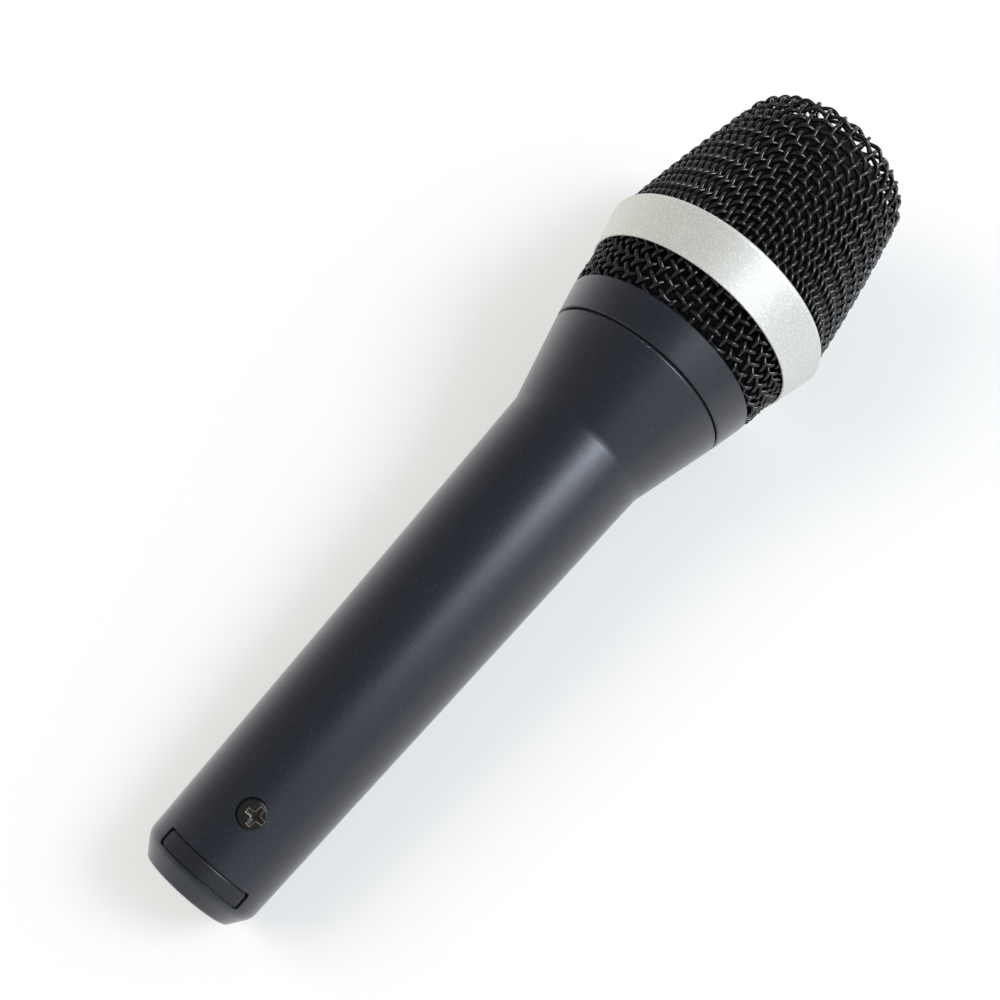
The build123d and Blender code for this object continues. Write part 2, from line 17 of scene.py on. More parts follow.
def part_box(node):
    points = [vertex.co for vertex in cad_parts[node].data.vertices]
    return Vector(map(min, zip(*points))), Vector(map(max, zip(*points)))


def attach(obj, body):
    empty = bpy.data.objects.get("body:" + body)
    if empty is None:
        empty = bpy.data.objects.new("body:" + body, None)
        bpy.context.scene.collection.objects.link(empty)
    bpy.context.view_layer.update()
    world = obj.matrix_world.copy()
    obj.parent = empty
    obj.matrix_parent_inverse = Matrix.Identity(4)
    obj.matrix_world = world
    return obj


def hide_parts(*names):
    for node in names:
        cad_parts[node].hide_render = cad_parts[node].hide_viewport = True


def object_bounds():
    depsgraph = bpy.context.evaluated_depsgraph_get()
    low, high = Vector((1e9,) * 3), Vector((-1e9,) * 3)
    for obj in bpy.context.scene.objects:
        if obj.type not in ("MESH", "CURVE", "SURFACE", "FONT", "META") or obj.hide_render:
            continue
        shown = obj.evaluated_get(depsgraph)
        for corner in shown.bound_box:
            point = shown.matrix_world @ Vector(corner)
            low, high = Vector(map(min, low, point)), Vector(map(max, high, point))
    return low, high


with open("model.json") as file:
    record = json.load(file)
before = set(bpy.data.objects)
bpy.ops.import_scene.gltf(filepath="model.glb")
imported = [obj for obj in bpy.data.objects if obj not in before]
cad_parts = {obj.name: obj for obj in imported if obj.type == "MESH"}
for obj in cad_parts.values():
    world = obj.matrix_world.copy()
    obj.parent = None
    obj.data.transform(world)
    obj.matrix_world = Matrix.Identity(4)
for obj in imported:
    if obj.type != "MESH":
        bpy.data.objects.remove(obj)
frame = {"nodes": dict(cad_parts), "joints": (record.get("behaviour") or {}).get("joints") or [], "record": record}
cad_low, cad_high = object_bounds()

MM = 0.001
SAME_PLACE = 1e-7  # points of an outline closer than this are one point
ON_AXIS = 1e-6  # a point this close to the axis lies on it

# --- Weave of the grilles (metres) ---------------------------------------------------------------
WIRE_R = 0.40 * MM
CRIMP = 0.40 * MM  # how far a wire swings each way as it passes over and under
UPPER_PITCH, UPPER_TURN = 2.51 * MM, math.radians(-7.7)
LOWER_PITCH, LOWER_TURN = 2.40 * MM, math.radians(2.0)
DRAW_FROM, DRAW_STRETCH, DRAW_CROWD = 18.4 * MM, 0.32, 0.23  # how the cup's sheet was drawn down
CONE_OUTER, CONE_STRETCH = 32.1 * MM, 1.094  # the cone's flat radius at its wide end, and its pull
SHEET_SPARE = 2.0 * MM  # the cup's flat sheet reaches this far past its edge
SAMPLES_PER_PITCH, WIRE_SIDES = 8, 8
FEWEST_SAMPLES = 5  # a shorter end of wire is left out
OUTLINE_STEP, OUTLINE_SMOOTHING = 0.25 * MM, 3
SIDE_SWELL, CORNER_SWELL = 0.36 * MM, 0.47 * MM  # how far the wires stand out past the CAD shell
COLLAR_SWELL, COLLAR_SWELL_RISE, COLLAR_SWELL_LENGTH = 0.95 * MM, 1.0 * MM, 8.5 * MM
COLLAR_SWELL_POWER = 1.3  # how the bulge above the collar fades with height
TRIM = 0.3 * MM  # the cut edge of a grille stays this far inside its seat

# --- Foam liners ---------------------------------------------------------------------------------
GRILLE_FOAM_THICK, REAR_FOAM_THICK = 3.4 * MM, 0.9 * MM
FOAM_SET_BACK, FOAM_CORNER_SET_BACK = 0.25 * MM, 0.8 * MM
FOAM_CELL, FOAM_ROUGH = 0.9 * MM, 0.45 * MM
FOAM_CELL_SHARE, FOAM_OCTAVES = 0.5, 2
FOAM_STEP = 0.45 * MM

# --- Insert screw --------------------------------------------------------------------------------
SCREW_GRID, SCREW_AROUND = 0.055 * MM, 144
CROWN_FLAT, CROWN_DROP, CROWN_POWER = 0.35, 0.62 * MM, 3.2  # flat share, then a fall to the edge
CROSS_ARM, CROSS_HALF_WIDTH, CROSS_DEPTH = 1.75 * MM, 0.38 * MM, 0.85 * MM
CROSS_FLARE, CROSS_FLARE_REACH = 0.9, 0.55 * MM  # the arms widen by this share in the middle
CROSS_WALL = 0.16 * MM  # the recess's walls lean over this width
CROSS_FLOOR, CROSS_FLOOR_RISE, CROSS_FLOOR_LEAST = 1.15, 0.45, 0.3  # shares of CROSS_DEPTH
WEAR_MOST, WEAR_OUTSIDE, WEAR_WIDTH = 0.85, 0.01 * MM, 0.08 * MM  # bare metal round the recess
WEAR_PATCHES, WEAR_FROM, WEAR_TO = 2600.0, 0.42, 0.55  # noise per metre, and where it shows
THREAD_PITCH, THREAD_DEPTH, ROWS_PER_THREAD = 0.5 * MM, 0.16 * MM, 4
TIP_LENGTH, TIP_CHAMFER = 0.5 * MM, 0.35 * MM
EDGE_BAND, SHANK_CLEAR = 0.01 * MM, 0.1 * MM  # what counts as the head's edge and as the shank

# --- Label plate ---------------------------------------------------------------------------------
PLATE_CORNER, PLATE_BEVEL = 0.75 * MM, 0.28 * MM
PLATE_EDGE_DROP = 0.7  # the share of the bevel by which the plate's edge is lower
PLATE_COLUMNS, PLATE_ROWS = 220, 26

TURNED_STRAY = 0.10  # a turned surface's normals may stray this far round the axis

# --- Camera, at the photograph's viewing angle ---------------------------------------------------
CAMERA_AT = (-0.08046, -0.06031, 0.24129)
CAMERA_LOOK = (0.3108, 0.2662, -0.9125)
LENS = 46.96

# --- Studio --------------------------------------------------------------------------------------
FLOOR_HALF = 1.6
FLOOR_GLOW = 0.445  # the shadows on the sheet stay pale
WINDOW, WINDOW_FAR, SKY_BLUE = (0.38, -0.56, 0.74), 1.1, (0.86, 0.93, 1.0)
LAMP, LAMP_FAR, LAMP_WARM = (-0.45, 0.80, 0.90), 1.5, (1.0, 0.94, 0.86)
SKY_LOW, SKY_HIGH = 0.25, 0.80  # the room is bright at the sides and darker overhead
SKY_LEAN = (0.0, 0.20, 0.98)  # the dark part of the ceiling is over the left side
SKY_SIDE, SKY_TOP = (0.72, 0.745, 0.78), (0.21, 0.205, 0.20)


# ================================================================================================
# Where things are
# ================================================================================================
class Axis:
    """The microphone's own axis: point(s, r, angle) and the directions that go with it."""

    def __init__(self):
        turn = next(j for j in frame["joints"] if j["name"] == "head_unscrew")
        end = next(m for m in frame["record"]["mounts"] if m["name"] == "connector_socket")
        self.along = Vector(turn["axis"]).normalized()
        self.origin = Vector(end["pos_m"])
        low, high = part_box("insert_screw")
        side = (low + high) / 2 - self.origin
        self.out = (side - side.dot(self.along) * self.along).normalized()
        self.across = self.along.cross(self.out)

    def radial(self, angle):
        return math.cos(angle) * self.out + math.sin(angle) * self.across

    def point(self, s, r, angle):
        return self.origin + float(s) * self.along + float(r) * self.radial(float(angle))

    def points(self, s, r, angle):
        """The same for numpy arrays, giving an (n, 3) array."""
        s, r, angle = np.broadcast_arrays(s, r, angle)
        o, a, x, y = (np.array(v) for v in (self.origin, self.along, self.out, self.across))
        return (
            o
            + s[..., None] * a
            + (r * np.cos(angle))[..., None] * x
            + (r * np.sin(angle))[..., None] * y
        )

    def offsets(self, node_name):
        """Every vertex of a CAD node, from the axis's origin."""
        vertices = frame["nodes"][node_name].data.vertices
        return np.array([v.co for v in vertices], float) - np.array(self.origin)

    def resolve(self, node_name):
        """How far every vertex of a CAD node is along, out and across."""
        offsets = self.offsets(node_name)
        return [offsets @ np.array(way) for way in (self.along, self.out, self.across)]

    def measure(self, node_name):
        """(s, r) of every vertex of a CAD node."""
        offsets, along = self.offsets(node_name), np.array(self.along)
        s = offsets @ along
        return s, np.linalg.norm(offsets - s[:, None] * along, axis=1)


axis = Axis()


class Meridian:
    """Outer outline of a round CAD shell, from its top end down, moved inwards by inset.

    swell takes the outline's (s, r) and outward normals and gives how far it then stands out.
    """

    def __init__(self, node_name, inset, swell, step=OUTLINE_STEP):
        s, r = axis.measure(node_name)
        order = np.argsort(s)
        hull = []
        for p in np.stack([s[order], r[order]], 1):
            while len(hull) > 1 and np.cross(hull[-1] - hull[-2], p - hull[-2]) >= 0:
                hull.pop()
            hull.append(p)
        line = np.array(hull)[::-1]
        line = line[np.r_[True, np.linalg.norm(np.diff(line, axis=0), axis=1) > SAME_PLACE]]
        line = self._even(line, step)
        for _ in range(OUTLINE_SMOOTHING):
            line[1:-1] = (line[:-2] + 2 * line[1:-1] + line[2:]) / 4
        out = self._outward(line)
        self.line = self._even(line + (swell(line, out)[:, None] - inset) * out, step)
        self.length = self._far(self.line)
        self.normal = self._outward(self.line)

    @staticmethod
    def _far(line):
        """How far along the outline each of its points is."""
        return np.r_[0, np.cumsum(np.linalg.norm(np.diff(line, axis=0), axis=1))]

    @staticmethod
    def _outward(line):
        tangent = np.gradient(line, axis=0)
        tangent /= np.linalg.norm(tangent, axis=1)[:, None]
        return np.stack([tangent[:, 1], -tangent[:, 0]], 1)

    @classmethod
    def _even(cls, line, step):
        """The same outline with its points one step apart."""
        far = cls._far(line)
        at = np.linspace(0, far[-1], int(far[-1] / step))
        return np.stack([np.interp(at, far, line[:, k]) for k in (0, 1)], 1)

    def at(self, distance):
        """(s, r, normal's s part, normal's r part) at a distance along the outline."""
        return [
            np.interp(distance, self.length, column)
            for column in (self.line[:, 0], self.line[:, 1], self.normal[:, 0], self.normal[:, 1])
        ]


# ================================================================================================
# Materials
# ================================================================================================
def node(tree, kind, **values):
    """A new shader node, with its inputs or, failing those, its settings by name."""
    made = tree.nodes.new(kind)
    for key, value in values.items():
        if key in made.inputs:
            made.inputs[key].default_value = value
        else:
            setattr(made, key, value)
    return made


def vector_math(tree, operation, first, second=None, scale=None):
    """The output of a vector maths node fed with sockets or plain vectors."""
    made = tree.nodes.new("ShaderNodeVectorMath")
    made.operation = operation
    for place, value in enumerate((first, second)):
        if isinstance(value, bpy.types.NodeSocket):
            tree.links.new(value, made.inputs[place])
        elif value is not None:
            made.inputs[place].default_value = value
    if scale is not None:
        tree.links.new(scale, made.inputs["Scale"])
    return made.outputs["Value" if operation == "DOT_PRODUCT" else "Vector"]


def turned_normal(tree, place):
    """The normal without its small part round the axis, so that a turned surface shades evenly."""
    offset = vector_math(tree, "SUBTRACT", place, axis.origin)
    height = vector_math(tree, "DOT_PRODUCT", offset, axis.along)
    foot = vector_math(tree, "SCALE", axis.along, scale=height)
    outward = vector_math(tree, "NORMALIZE", vector_math(tree, "SUBTRACT", offset, foot))
    round_axis = vector_math(tree, "CROSS_PRODUCT", axis.along, outward)
    surface = node(tree, "ShaderNodeNewGeometry")
    inwards = node(tree, "ShaderNodeVectorTransform", vector_type="NORMAL",
                   convert_from="WORLD", convert_to="OBJECT")
    tree.links.new(surface.outputs["Normal"], inwards.inputs["Vector"])
    normal = inwards.outputs["Vector"]
    stray = vector_math(tree, "DOT_PRODUCT", normal, round_axis)
    size = node(tree, "ShaderNodeMath", operation="ABSOLUTE")
    tree.links.new(stray, size.inputs[0])
    small = node(tree, "ShaderNodeMath", operation="LESS_THAN")
    tree.links.new(size.outputs["Value"], small.inputs[0])
    small.inputs[1].default_value = TURNED_STRAY
    amount = node(tree, "ShaderNodeMath", operation="MULTIPLY")
    tree.links.new(stray, amount.inputs[0])
    tree.links.new(small.outputs["Value"], amount.inputs[1])
    excess = vector_math(tree, "SCALE", round_axis, scale=amount.outputs["Value"])
    even = vector_math(tree, "NORMALIZE", vector_math(tree, "SUBTRACT", normal, excess))
    back = node(tree, "ShaderNodeVectorTransform", vector_type="NORMAL",
                convert_from="OBJECT", convert_to="WORLD")
    tree.links.new(even, back.inputs["Vector"])
    return back.outputs["Vector"]


def flaked(tree, place, colour, speck_colour, speck_scale, share):
    """A colour with specks in the given share of its cells."""
    cell = node(tree, "ShaderNodeTexVoronoi", Scale=speck_scale, feature="F1")
    tree.links.new(place, cell.inputs["Vector"])
    pick = node(tree, "ShaderNodeSeparateColor")
    tree.links.new(cell.outputs["Color"], pick.inputs["Color"])
    ramp = node(tree, "ShaderNodeMapRange")
    ramp.inputs["From Min"].default_value = 1 - share
    ramp.inputs["From Max"].default_value = 1.0
    tree.links.new(pick.outputs["Red"], ramp.inputs["Value"])
    speck = node(tree, "ShaderNodeMix", data_type="RGBA")
    speck.inputs["B"].default_value = (*speck_colour, 1)
    tree.links.new(ramp.outputs["Result"], speck.inputs["Factor"])
    tree.links.new(colour, speck.inputs["A"])
    return speck.outputs["Result"]


def material(
    name,
    light,
    dark,
    rough,
    metallic=0.0,
    mottle=120.0,
    rough_spread=0.08,
    coat=0.0,
    coat_rough=0.1,
    grain=2500.0,
    bump=0.02,
    flake=None,
    specular=0.5,
    sheen=0.0,
    turned=False,
):
    """Two tones mixed by a soft mottle, roughness with the same mottle, fine grain as bump.

    flake is (colour, scale per metre, share) of bright specks in a paint. turned is for pieces
    that are round about the microphone's axis.
    """
    made = bpy.data.materials.new(name)
    made.use_nodes = True
    tree = made.node_tree
    shader = tree.nodes["Principled BSDF"]
    shader.inputs["Metallic"].default_value = metallic
    shader.inputs["Coat Weight"].default_value = coat
    shader.inputs["Coat Roughness"].default_value = coat_rough
    shader.inputs["Specular IOR Level"].default_value = specular
    shader.inputs["Sheen Weight"].default_value = sheen
    place = node(tree, "ShaderNodeTexCoord")
    cloud = node(tree, "ShaderNodeTexNoise", Scale=mottle, Detail=3.0, Roughness=0.55)
    tree.links.new(place.outputs["Object"], cloud.inputs["Vector"])
    tone = node(tree, "ShaderNodeMix", data_type="RGBA")
    tone.inputs["A"].default_value = (*dark, 1)
    tone.inputs["B"].default_value = (*light, 1)
    tree.links.new(cloud.outputs["Fac"], tone.inputs["Factor"])
    colour = tone.outputs["Result"]
    if flake:
        colour = flaked(tree, place.outputs["Object"], colour, *flake)
    tree.links.new(colour, shader.inputs["Base Color"])
    spread = node(tree, "ShaderNodeMapRange")
    spread.inputs["To Min"].default_value = rough - rough_spread / 2
    spread.inputs["To Max"].default_value = rough + rough_spread / 2
    tree.links.new(cloud.outputs["Fac"], spread.inputs["Value"])
    tree.links.new(spread.outputs["Result"], shader.inputs["Roughness"])
    if bump:
        fine = node(tree, "ShaderNodeTexNoise", Scale=grain, Detail=2.0)
        tree.links.new(place.outputs["Object"], fine.inputs["Vector"])
        relief = node(tree, "ShaderNodeBump", Strength=1.0, Distance=bump * MM)
        tree.links.new(fine.outputs["Fac"], relief.inputs["Height"])
        if turned:
            tree.links.new(turned_normal(tree, place.outputs["Object"]), relief.inputs["Normal"])
        tree.links.new(relief.outputs["Normal"], shader.inputs["Normal"])
        tree.links.new(relief.outputs["Normal"], shader.inputs["Coat Normal"])
    return made


MATERIALS = {
    "body_paint": material(
        "body_paint", (0.0125, 0.0150, 0.0240), (0.0095, 0.0115, 0.0180), 0.34, metallic=0.38,
        mottle=60, rough_spread=0.04, grain=9000, bump=0.0012,
        flake=((0.055, 0.063, 0.080), 9000, 0.04), coat=0.6, coat_rough=0.30, turned=True,
    ),
    "label_black": material("label_black", (0.011, 0.012, 0.016), (0.007, 0.008, 0.011), 0.34,
                            grain=3000, bump=0.004),
    "screw_black": material("screw_black", (0.012, 0.012, 0.013), (0.006, 0.006, 0.007), 0.22,
                            metallic=0.3, coat=0.5, coat_rough=0.08, grain=1800, bump=0.006),
    "insert_plastic": material("insert_plastic", (0.016, 0.016, 0.017), (0.010, 0.010, 0.011), 0.42,
                               grain=2600, bump=0.008),
    "contact_silver": material("contact_silver", (0.86, 0.85, 0.82), (0.74, 0.73, 0.70), 0.2,
                               metallic=1.0, grain=2500, bump=0.002),
    "spring_brass": material("spring_brass", (0.80, 0.62, 0.30), (0.62, 0.46, 0.20), 0.3,
                             metallic=1.0, grain=2500, bump=0.003),
    "board_fibre": material("board_fibre", (0.05, 0.20, 0.09), (0.03, 0.13, 0.06), 0.45,
                            grain=1500, bump=0.01, coat=0.3),
    "lead_red": material("lead_red", (0.45, 0.03, 0.025), (0.33, 0.02, 0.02), 0.42, bump=0.004),
    "lead_black": material("lead_black", (0.02, 0.02, 0.02), (0.012, 0.012, 0.012), 0.42, bump=0.004),
    "carrier_plastic": material("carrier_plastic", (0.030, 0.030, 0.032), (0.020, 0.020, 0.022), 0.48,
                                grain=2200, bump=0.01),
    "rubber_black": material("rubber_black", (0.022, 0.022, 0.022), (0.014, 0.014, 0.014), 0.75,
                             grain=1600, bump=0.02),
    "mesh_black": material("mesh_black", (0.0055, 0.0055, 0.006), (0.003, 0.003, 0.0035), 0.18,
                           mottle=300, rough_spread=0.08, grain=3500, bump=0.003),
    "foam_black": material("foam_black", (0.010, 0.010, 0.011), (0.004, 0.004, 0.004), 0.95,
                           mottle=900, grain=1400, bump=0.12, specular=0.2),
    "frame_steel": material("frame_steel", (0.020, 0.020, 0.021), (0.012, 0.012, 0.013), 0.4,
                            metallic=0.6, bump=0.004),
    "band_silver": material(
        "band_silver", (0.605, 0.605, 0.565), (0.55, 0.55, 0.51), 0.47, metallic=0.50,
        mottle=80, rough_spread=0.05, grain=5000, bump=0.003,
        flake=((0.84, 0.84, 0.80), 8000, 0.30), coat=0.1, coat_rough=0.35, turned=True,
    ),
    "chamber_plastic": material("chamber_plastic", (0.045, 0.045, 0.047), (0.03, 0.03, 0.032), 0.4,
                                bump=0.006),
    "felt_grey": material("felt_grey", (0.20, 0.20, 0.20), (0.10, 0.10, 0.10), 0.95, mottle=900,
                          grain=1500, bump=0.1, sheen=0.3),
    "soft_iron": material("soft_iron", (0.42, 0.41, 0.40), (0.32, 0.31, 0.30), 0.35, metallic=1.0,
                          bump=0.004),
    "magnet_nickel": material("magnet_nickel", (0.66, 0.65, 0.62), (0.56, 0.55, 0.52), 0.22,
                              metallic=1.0, bump=0.002),
    "coil_copper": material("coil_copper", (0.72, 0.34, 0.18), (0.55, 0.24, 0.12), 0.3,
                            metallic=1.0, bump=0.003),
    "membrane": material("membrane", (0.35, 0.34, 0.30), (0.28, 0.27, 0.24), 0.25, bump=0.002,
                         coat=0.3),
    "cap_aluminium": material("cap_aluminium", (0.62, 0.62, 0.62), (0.52, 0.52, 0.52), 0.3,
                              metallic=1.0, bump=0.003),
}


def show_wear(name, worn, rough):
    """Mixes a worn tone into a material wherever a piece's "wear" attribute says so."""
    tree = MATERIALS[name].node_tree
    shader = tree.nodes["Principled BSDF"]
    wear = node(tree, "ShaderNodeAttribute", attribute_name="wear")
    patches = node(tree, "ShaderNodeTexNoise", Scale=WEAR_PATCHES, Detail=2.0)
    worn_where = node(tree, "ShaderNodeMath", operation="MULTIPLY")
    soft = node(tree, "ShaderNodeMapRange")
    soft.inputs["From Min"].default_value = WEAR_FROM
    soft.inputs["From Max"].default_value = WEAR_TO
    tree.links.new(patches.outputs["Fac"], soft.inputs["Value"])
    tree.links.new(wear.outputs["Fac"], worn_where.inputs[0])
    tree.links.new(soft.outputs["Result"], worn_where.inputs[1])
    for socket, value in (("Base Color", (*worn, 1)), ("Metallic", 1.0), ("Roughness", rough)):
        kind = "RGBA" if socket == "Base Color" else "FLOAT"
        blend = node(tree, "ShaderNodeMix", data_type=kind)
        ends = [i for i in blend.inputs if i.type == ("RGBA" if kind == "RGBA" else "VALUE")]
        first, second = [i for i in ends if i.name in "AB"]
        if shader.inputs[socket].links:
            tree.links.new(shader.inputs[socket].links[0].from_socket, first)
        else:
            first.default_value = shader.inputs[socket].default_value
        second.default_value = value
        factor = next(i for i in blend.inputs if i.name == "Factor" and i.type == "VALUE")
        tree.links.new(worn_where.outputs["Value"], factor)
        result = next(o for o in blend.outputs if o.type == ends[0].type)
        tree.links.new(result, shader.inputs[socket])


show_wear("screw_black", (0.55, 0.42, 0.24), 0.25)


def paint(obj, name):
    obj.data.materials.clear()
    obj.data.materials.append(MATERIALS[name])


# ================================================================================================
# Meshes
# ================================================================================================
def piece(name, verts, faces, slot, body, replaces):
    """A smooth mesh object from arrays, painted, riding on a body and standing for CAD nodes."""
    mesh = bpy.data.meshes.new(name)
    mesh.from_pydata([tuple(v) for v in verts], [], [tuple(f) for f in faces])
    mesh.validate()
    mesh.polygons.foreach_set("use_smooth", [True] * len(mesh.polygons))
    mesh.update()
    obj = bpy.data.objects.new(name, mesh)
    bpy.context.scene.collection.objects.link(obj)
    paint(obj, slot)
    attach(obj, body)
    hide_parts(*replaces)
    return obj


class Tubes:
    """Round wires along polylines, gathered into one mesh."""

    def __init__(self, radius, sides):
        self.radius, self.sides = radius, sides
        self.verts, self.faces, self.count = [], [], 0

    def add(self, path, up):
        """path is (n, 3) points and up (n, 3) a steady direction away from the surface."""
        along = np.gradient(path, axis=0)
        along /= np.linalg.norm(along, axis=1)[:, None]
        side = np.cross(along, up)
        side /= np.linalg.norm(side, axis=1)[:, None]
        top = np.cross(side, along)
        turn = np.linspace(0, 2 * math.pi, self.sides, endpoint=False)
        ring = (
            path[:, None, :]
            + self.radius * np.cos(turn)[None, :, None] * top[:, None, :]
            + self.radius * np.sin(turn)[None, :, None] * side[:, None, :]
        )
        rings, sides, first = len(path), self.sides, self.count
        self.verts.append(ring.reshape(-1, 3))
        i, j = np.meshgrid(np.arange(rings - 1), np.arange(sides), indexing="ij")
        here, after = i * sides, (i + 1) * sides
        j2 = (j + 1) % sides
        quads = np.stack([here + j, here + j2, after + j2, after + j], -1)
        self.faces.extend((quads.reshape(-1, 4) + first).tolist())
        self.faces.append([first + x for x in reversed(range(sides))])
        self.faces.append([first + (rings - 1) * sides + x for x in range(sides)])
        self.count += rings * sides

    def make(self, name, slot, body, replaces):
        piece(name, np.concatenate(self.verts), self.faces, slot, body, replaces)


def weave(name, meridian, chart, reach, span, pitch, turn, replaces, body):
    """A flat plain weave pressed onto a round shell.

    chart takes a point of the flat sheet, as distances from its middle and angles, to distances
    along the meridian and angles about the axis. Wires run out to reach on the flat sheet and
    are kept where they land within span on the meridian.
    """
    tubes = Tubes(WIRE_R, WIRE_SIDES)
    count = int(reach / pitch)
    for family in (0, 1):
        for number in range(-count, count):
            level = (number + 0.5) * pitch
            half = math.sqrt(reach**2 - level**2)
            run = np.linspace(-half, half, int(2 * half / pitch * SAMPLES_PER_PITCH))
            x, y = run, np.full_like(run, level)
            if family == 1:
                x, y = y, x
            distance, angle = chart(np.hypot(x, y), np.arctan2(y, x))
            angle = angle + turn
            sign = 1 if number % 2 != family else -1
            lift = sign * CRIMP * np.sin(math.pi * run / pitch)
            keep = (distance >= span[0]) & (distance <= span[1])
            breaks = np.nonzero(np.diff(keep.astype(int)))[0] + 1
            for part in np.split(np.arange(len(run)), breaks):
                if len(part) < FEWEST_SAMPLES or not keep[part[0]]:
                    continue
                s, r, ns, nr = meridian.at(distance[part])
                path = axis.points(s + lift[part] * ns, r + lift[part] * nr, angle[part])
                up = axis.points(s + ns, r + nr, angle[part]) - axis.points(s, r, angle[part])
                tubes.add(path, up)
    tubes.make(name, "mesh_black", body, replaces)


def pressed_cup(rho, psi):
    """A deep-drawn sheet: beyond the rim of the top it is longer on the diagonals and crowds there."""
    past = np.maximum(rho - DRAW_FROM, 0.0)
    fade = np.clip(rho / DRAW_FROM, 0.0, 1.0) ** 2
    distance = rho + DRAW_STRETCH * (1 - np.cos(4 * psi)) / 2 * past
    return distance, psi + DRAW_CROWD / 4 * fade * np.sin(4 * psi)


def pressed_cone(rho, psi):
    """A shallow cone: straight out from the middle of the flat sheet."""
    return (CONE_OUTER - rho) / CONE_STRETCH, psi


def diagonal(out):
    """1 where an outline's normals point halfway between top and side, 0 on the top and the side."""
    return (2 * out[:, 0] * out[:, 1]) ** 2


def upper_swell(line, out):
    """The cup's side and corner stand out past the CAD shell, and its top doesn't."""
    return SIDE_SWELL * out[:, 1] ** 2 + CORNER_SWELL * diagonal(out)


def lower_swell(line, out):
    """The lower grille bulges just above the collar."""
    above = line[:, 0] - axis.measure("collar")[0].max()
    fade = np.clip(1 - above / COLLAR_SWELL_LENGTH, 0.0, 1.0)
    return COLLAR_SWELL * np.clip(above / COLLAR_SWELL_RISE, 0.0, 1.0) * fade**COLLAR_SWELL_POWER


def skin_of_turning(outline, around):
    """Vertices and faces of an outline of (s, r) turned about the axis, closed on itself."""
    angles = np.linspace(0, 2 * math.pi, around, endpoint=False)
    index, verts, count = np.zeros((around, len(outline)), int), [], 0
    for i, (s, r) in enumerate(outline):
        on_axis = r < ON_AXIS
        verts.append(axis.points(s, r, angles[:1] if on_axis else angles))
        index[:, i] = count if on_axis else count + np.arange(around)
        count += 1 if on_axis else around
    faces = []
    for i in range(len(outline)):
        i2 = (i + 1) % len(outline)
        for j in range(around):
            j2 = (j + 1) % around
            loop = (index[j, i], index[j, i2], index[j2, i2], index[j2, i])
            face = list(dict.fromkeys(int(x) for x in loop))
            if len(face) > 2:
                faces.append(face)
    return np.concatenate(verts), faces


def foam(name, node_name, closed_top, thickness, corner):
    """An open-celled liner in the place of its CAD solid, a little back from the grille.

    Its outline runs down the outside and back up the inside, which lies thickness further in. A
    closed top makes it a cup, and corner is how much further back it stays at the cup's corner.
    """
    def set_back(line, out):
        return -corner * diagonal(out)

    line = Meridian(node_name, FOAM_SET_BACK, set_back, FOAM_STEP).line
    if closed_top:
        ceiling = line[:, 0].max() - thickness
        line = np.concatenate([[[line[0, 0], 0.0]], line[line[:, 1] > FOAM_STEP]])
        back = line[line[:, 0] < ceiling][::-1] - (0.0, thickness)
        back = back[back[:, 1] > 0]
        flat = np.arange(back[-1, 1] - FOAM_STEP, FOAM_STEP, -FOAM_STEP)
        under_top = np.stack([np.full_like(flat, ceiling), flat], 1)
        back = np.concatenate([back, under_top, [[ceiling, 0.0]]])
    else:
        back = line[::-1] - (0.0, thickness)
    around = int(2 * math.pi * line[:, 1].max() / FOAM_STEP)
    verts, faces = skin_of_turning(np.concatenate([line, back]), around)
    obj = piece(name, verts, faces, "foam_black", "head_body", [node_name])
    normals = [v.normal.copy() for v in obj.data.vertices]
    for v, out in zip(obj.data.vertices, normals):
        at = v.co / FOAM_CELL
        pores = noise.cell(at) * FOAM_CELL_SHARE + noise.turbulence(at, FOAM_OCTAVES, True)
        v.co -= out * FOAM_ROUGH * min(1.0, abs(pores))
    obj.data.update()


def outside_cross(along, across):
    """How far a point is outside the edge of the cross recess; inside it this is negative."""
    long_way = np.maximum(np.abs(along), np.abs(across))
    short_way = np.minimum(np.abs(along), np.abs(across))
    flare = CROSS_FLARE * np.exp(-(long_way / CROSS_FLARE_REACH) ** 2)
    return np.maximum(short_way - CROSS_HALF_WIDTH * (1.0 + flare), long_way - CROSS_ARM)


